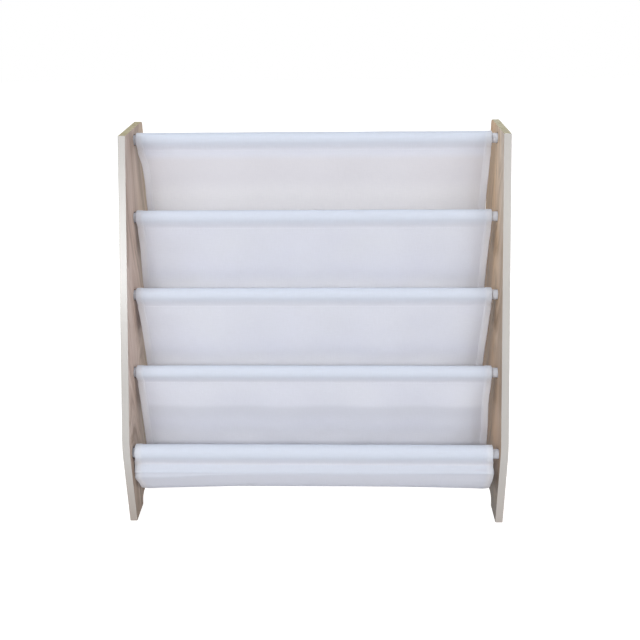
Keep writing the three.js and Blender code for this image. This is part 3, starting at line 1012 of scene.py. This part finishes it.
def cloth_lift(strip, places, across, to_seam):
    """How far each point of the cloth stands off its side view: hems, folds and waves."""
    hang, pocket, sleeve = (strip.column(key) for key in ("hang", "pocket", "sleeve"))
    from_edge = cloth_half_width - np.abs(across)
    in_hem = 1 - smooth_step(from_edge / SIDE_HEM)
    beside = 1 - rise_from(from_edge, SIDE_HEM, VALLEY_WIDTH)
    lift = strip.column("rise")[:, None] * MM * in_hem
    lift = lift - strip.column("valley")[:, None] * MM * beside
    turns = 2 * math.pi * across / FOLD_SPACING + FOLD_SHIFT * pocket[:, None]
    lift = lift + FOLD_DEPTH * np.cos(turns) * hang[:, None]
    pucker = np.exp(-to_seam / PUCKER_REACH)
    for c, u in enumerate(across):
        edge = math.exp(-from_edge[c] / EDGE_REACH)
        for r, v in enumerate(places):
            broad = wave(u, v, BROAD) * BROAD_WAVE * hang[r]
            small = wave(u, v, SMALL) * SMALL_WAVE * (0.35 + hang[r])
            gathers = wave(u, v, GATHERS) * GATHER_WAVE * pucker[r] * (0.5 + edge)
            ripple = wave(u, pocket[r] + 20, RIPPLES) * SLEEVE_WAVE * sleeve[r]
            lift[r, c] += broad + small + gathers + ripple
    return lift


def cloth_tones(strip):
    """Shares of four tones along the cloth, as the two pairs that its material reads: painted light
    and shade, a cool tone on the sleeves and the last pocket's front, a warmer first sheet, a
    lighter foot of each sheet and a dimmer last pocket.
    """
    share, pocket = strip.column("share"), strip.column("pocket")
    on_first = stretch(share, *FIRST_TONE) * (pocket == 0)
    cool = np.maximum(strip.column("sleeve"), strip.column("cool"))
    foot_start = np.where(pocket[:, None] == 0, FIRST_FOOT_START, FOOT_START).T
    foot = stretch(share, foot_start, FOOT_END)
    dimmed = rise_from(share, *DIM_START) * (1 - DIM_LOSS * rise_from(share, *DIM_LESS))
    dimmed = dimmed * (1 - rise_from(share, *DIM_END)) + DIM_FRONT * rise_from(share, *DIM_AGAIN)
    dimmed = dimmed * (pocket == len(rods) - 2)
    return {"tint": np.stack([cool, on_first], axis=1), "wear": np.stack([foot, dimmed], axis=1)}


def canvas_surface():
    """The outer and inner faces of the cloth as grids, and what belongs to them."""
    strip = build_rows()
    points = np.array(strip.points)
    places = distances(points)
    across = build_columns()
    from_edge = cloth_half_width - np.abs(across)
    tangent = unit(np.gradient(points, places, axis=0))
    outward = np.stack([tangent[:, 1], -tangent[:, 0]], axis=1)
    on_left = across < 0
    drawn = np.where(on_left, strip.column("left")[:, None], strip.column("right")[:, None]) * MM
    x = cloth_middle + across * ((cloth_half_width - drawn) / cloth_half_width)

    seams = seam_rows(points)
    to_seam = np.min(np.abs(places[:, None] - places[seams]), axis=1)
    lift = cloth_lift(strip, places, across, to_seam)
    y, z = (points[:, axis, None] + outward[:, axis, None] * lift for axis in (0, 1))
    reach = rise_from(np.abs(across) / cloth_half_width, *LAST_TILT_REACH)
    last_pocket = (strip.column("pocket") == len(rods) - 2)[:, None]
    droop = np.where(on_left, *BOTTOM_DROOP) * strip.column("droop")[:, None]
    tilt = np.where(on_left, *LAST_CREASE_TILT) * strip.column("crease")[:, None]
    z = z + last_pocket * reach * (tilt - droop)

    grid = np.stack([x, y, z], axis=2)
    normal = unit(np.cross(np.gradient(grid, axis=0), np.gradient(grid, axis=1)))
    if np.sum(normal[:, len(across) // 2, 1:] * outward) < 0:
        normal = -normal
    hem = 1 - smooth_step((from_edge - SIDE_HEM + HEM_STEP[0]) / HEM_STEP[1])
    extra = np.maximum(hem * SIDE_HEM_EXTRA, strip.column("hem")[:, None] * END_HEM_EXTRA)
    extra = extra + SLEEVE_EXTRA * strip.column("sleeve")[:, None] * (1 - hem)
    return {
        "outer": grid + normal * (CANVAS / 2 + extra)[:, :, None],
        "inner": grid - normal * (CANVAS / 2),
        "normal": normal, "across": across, "places": places, "seams": seams,
        "flat": (2 * cloth_half_width, places[-1]), **cloth_tones(strip),
    }


def grid_faces(rows, columns, offset, flip):
    base = offset + np.arange(rows - 1)[:, None] * columns + np.arange(columns - 1)[None, :]
    quads = np.stack([base, base + 1, base + columns + 1, base + columns], axis=2).reshape(-1, 4)
    return quads[:, ::-1] if flip else quads


def canvas_piece(surface):
    """The cloth as one closed mesh: its outer face, its inner face and a rounded rim."""
    outer, inner = surface["outer"], surface["inner"]
    rows, columns = outer.shape[:2]
    count = rows * columns
    ring = (
        [(0, c) for c in range(columns)]
        + [(r, columns - 1) for r in range(1, rows)]
        + [(rows - 1, c) for c in range(columns - 2, -1, -1)]
        + [(r, 0) for r in range(rows - 2, 0, -1)]
    )
    ring_rows, ring_columns = np.array(ring).T
    rim_out = ring_rows * columns + ring_columns
    rim_in = rim_out + count
    rim_mid = 2 * count + np.arange(len(ring))
    outer_rim, inner_rim = (face.reshape(-1, 3)[rim_out] for face in (outer, inner))
    inside = outer[np.clip(ring_rows, 1, rows - 2), np.clip(ring_columns, 1, columns - 2)]
    thickness = np.linalg.norm(outer_rim - inner_rim, axis=1)[:, None]
    middle = (outer_rim + inner_rim) / 2 + unit(outer_rim - inside) * thickness * RIM_BULGE
    vertices = np.concatenate([outer.reshape(-1, 3), inner.reshape(-1, 3), middle])
    following = np.roll(np.arange(len(ring)), -1)
    faces = np.concatenate([
        grid_faces(rows, columns, 0, False), grid_faces(rows, columns, count, True),
        np.stack([rim_out, rim_mid, rim_mid[following], rim_out[following]], axis=1),
        np.stack([rim_mid, rim_in, rim_in[following], rim_mid[following]], axis=1),
    ])
    mesh = bpy.data.meshes.new("canvas_sling")
    mesh.from_pydata(vertices.tolist(), [], faces.tolist())
    corners = np.empty(len(mesh.loops), np.int32)
    mesh.loops.foreach_get("vertex_index", corners)
    cloth = np.stack(np.meshgrid(surface["across"], surface["places"]), axis=2).reshape(-1, 2)
    tint, wear = (np.repeat(surface[key], columns, axis=0) for key in ("tint", "wear"))
    for layer_name, values in (("cloth", cloth), ("tint", tint), ("wear", wear)):
        layer = mesh.uv_layers.new(name=layer_name)
        values = np.concatenate([values, values, values[rim_out]])
        layer.uv.foreach_set("vector", values[corners].astype(np.float32).ravel())
    shape = bmesh.new()
    shape.from_mesh(mesh)
    bmesh.ops.recalc_face_normals(shape, faces=shape.faces)
    shape.to_mesh(mesh)
    shape.free()
    mesh.shade_smooth()
    return link("canvas_sling", mesh, [materials["canvas"]])


def stitch_template():
    """One stitch along X, flattened and pointed at its ends, as rings of six points."""
    sides = 6
    angles = [2 * math.pi * k / sides for k in range(sides)]
    vertices = [
        (along * STITCH_LENGTH, girth * STITCH_RADIUS * math.cos(angle),
         girth * STITCH_RADIUS * math.sin(angle))
        for along, girth in STITCH_RINGS for angle in angles
    ]
    faces = [
        (low + k, low + (k + 1) % sides, low + sides + (k + 1) % sides, low + sides + k)
        for low in range(0, len(vertices) - sides, sides) for k in range(sides)
    ]
    faces += [tuple(range(sides))[::-1], tuple(range(len(vertices) - sides, len(vertices)))]
    return np.array(vertices), faces


def stitches(name, lines):
    """Stitches along lines of points, each with the cloth's normal there."""
    template, template_faces = stitch_template()
    vertices = []
    faces = []
    for line, normals in lines:
        along = distances(line)
        count = int(along[-1] // STITCH_PITCH)
        start = (along[-1] - (count - 1) * STITCH_PITCH) / 2
        for place in start + np.arange(count) * STITCH_PITCH:
            centre, ahead, normal = (
                np.array([np.interp(where, along, values[:, axis]) for axis in range(3)])
                for where, values in ((place, line), (place + STITCH_AHEAD, line), (place, normals))
            )
            direction = unit(ahead - centre)
            normal = unit(normal - direction * np.dot(normal, direction))
            side = np.cross(normal, direction)
            offset = len(template) * len(vertices)
            vertices.append(
                centre + normal * STITCH_RADIUS * STITCH_RISE + template[:, :1] * direction
                + template[:, 1:2] * side + template[:, 2:3] * normal * STITCH_FLATNESS
            )
            faces += [tuple(offset + i for i in face) for face in template_faces]
    mesh = bpy.data.meshes.new(name)
    mesh.from_pydata(np.concatenate(vertices).tolist(), [], faces)
    mesh.shade_smooth()
    return link(name, mesh, [materials["thread"]])


def seam_stitches(surface):
    """A row of stitches across the cloth at every seam, on its front and on its back."""
    outer, normal = surface["outer"], surface["normal"]
    lines = [(outer[row, 2:-2], normal[row, 2:-2]) for row in surface["seams"]]
    return stitches("seam_stitching", lines)


def hem_stitches(surface):
    """A row of stitches along each side hem, on both faces of the cloth."""
    lines = []
    for sign in (-1, 1):
        stitched = sign * (cloth_half_width - HEM_STITCH_LINE)
        column = np.argmin(np.abs(surface["across"] - stitched))
        normals = surface["normal"][3:-3, column]
        lines.append((surface["outer"][3:-3, column], normals))
        lines.append((surface["inner"][3:-3, column], -normals))
    return stitches("hem_stitching", lines)


def sling():
    surface = canvas_surface()
    cloth = canvas_piece(surface)
    seams = seam_stitches(surface)
    hems = hem_stitches(surface)
    for piece in (cloth, seams, hems):
        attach(piece, "root")
    sleeves = [f"sling_sleeve_{number}" for number in ROD_NUMBERS]
    pockets = [f"sling_pocket_{number}" for number in ROD_NUMBERS[:-1]]
    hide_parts(*sleeves, *pockets)


# studio


def place_camera():
    data = bpy.data.cameras.new("camera")
    data.lens = CAMERA_LENS
    data.sensor_width = CAMERA_SENSOR
    camera = bpy.data.objects.new("camera", data)
    forward = Vector((
        math.sin(CAMERA_YAW) * math.cos(CAMERA_PITCH),
        math.cos(CAMERA_YAW) * math.cos(CAMERA_PITCH),
        -math.sin(CAMERA_PITCH),
    ))
    right = Vector((math.cos(CAMERA_YAW), -math.sin(CAMERA_YAW), 0))
    up = right.cross(forward)
    camera_x = math.cos(CAMERA_ROLL) * right + math.sin(CAMERA_ROLL) * up
    camera_y = -math.sin(CAMERA_ROLL) * right + math.cos(CAMERA_ROLL) * up
    axes = Matrix((camera_x, camera_y, -forward)).transposed()
    camera.matrix_world = Matrix.Translation(CAMERA_PLACE) @ axes.to_4x4()
    bpy.context.scene.collection.objects.link(camera)
    bpy.context.scene.camera = camera


def seen_directly(nodes):
    """1 for rays from the camera and for those that mirror or pass through, else 0."""
    path = nodes.add("LightPath").outputs
    seen = nodes.calc("MAXIMUM", path["Is Camera Ray"], path["Is Glossy Ray"])
    return nodes.calc("MAXIMUM", seen, path["Is Transmission Ray"])


def studio_floor():
    """A pale floor that looks white and still takes the shadow."""
    mesh = bpy.data.meshes.new("studio_floor")
    signs = ((-1, -1), (1, -1), (1, 1), (-1, 1))
    corners = [(x * FLOOR_HALF, y * FLOOR_HALF, -FLOOR_DROP) for x, y in signs]
    mesh.from_pydata(corners, [], [(0, 1, 2, 3)])
    shader = Shader("floor_paper")
    fibre = shader.noise(shader.place(), 60.0)
    tone = shader.blend(fibre, (0.68, 0.68, 0.68), (0.74, 0.74, 0.74))
    paper = shader.add("BsdfDiffuse", {"Color": tone})
    reach = shader.add("VectorMath", {0: shader.place()}, operation="LENGTH").outputs["Value"]
    strength = shader.range(reach, GLOW_NEAR[0], GLOW_FAR[0], GLOW_NEAR[1], GLOW_FAR[1])
    strength = shader.times(seen_directly(shader), strength)
    glow = shader.add("Emission", {"Color": (1, 1, 1, 1), "Strength": strength})
    both = shader.add("AddShader", {0: paper.outputs[0], 1: glow.outputs[0]})
    link("studio_floor", mesh, [shader.finish(both.outputs[0])])


def studio_light():
    world = bpy.data.worlds.new("studio")
    world.use_nodes = True
    bpy.context.scene.world = world
    nodes = Nodes(world.node_tree)
    ambient = nodes.add("Background", {"Color": (0.97, 0.985, 1.0, 1), "Strength": AMBIENT})
    white = nodes.add("Background", {"Color": (1, 1, 1, 1), "Strength": 1.0})
    values = {0: seen_directly(nodes), 1: ambient.outputs[0], 2: white.outputs[0]}
    blend = nodes.add("MixShader", values).outputs[0]
    nodes.add("OutputWorld", {"Surface": blend})

    for name, (place, target, size, power, tint) in LAMPS.items():
        data = bpy.data.lights.new(name, "AREA")
        data.shape = "RECTANGLE"
        data.size = size
        data.size_y = size / 2
        data.energy = power
        data.color = tint
        lamp = bpy.data.objects.new(name, data)
        lamp.location = place
        aim = Vector(target) - Vector(place)
        lamp.rotation_euler = aim.to_track_quat("-Z", "Y").to_euler()
        bpy.context.scene.collection.objects.link(lamp)


place_camera()
SIDES = (("left", -1), ("right", 1))
for make_piece in (side_panel, front_strip):
    for side_name, side_sign in SIDES:
        make_piece(side_name, side_sign)
for rod_number in ROD_NUMBERS:
    rod_piece(rod_number)
    for side_name, side_sign in SIDES:
        screw_piece(side_name, side_sign, rod_number)
        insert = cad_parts[f"rod_insert_{side_name}_{rod_number}"]
        for slot in insert.material_slots:
            slot.material = materials["insert"]
sling()
studio_floor()
studio_light()
bpy.context.scene.view_settings.view_transform = "Standard"
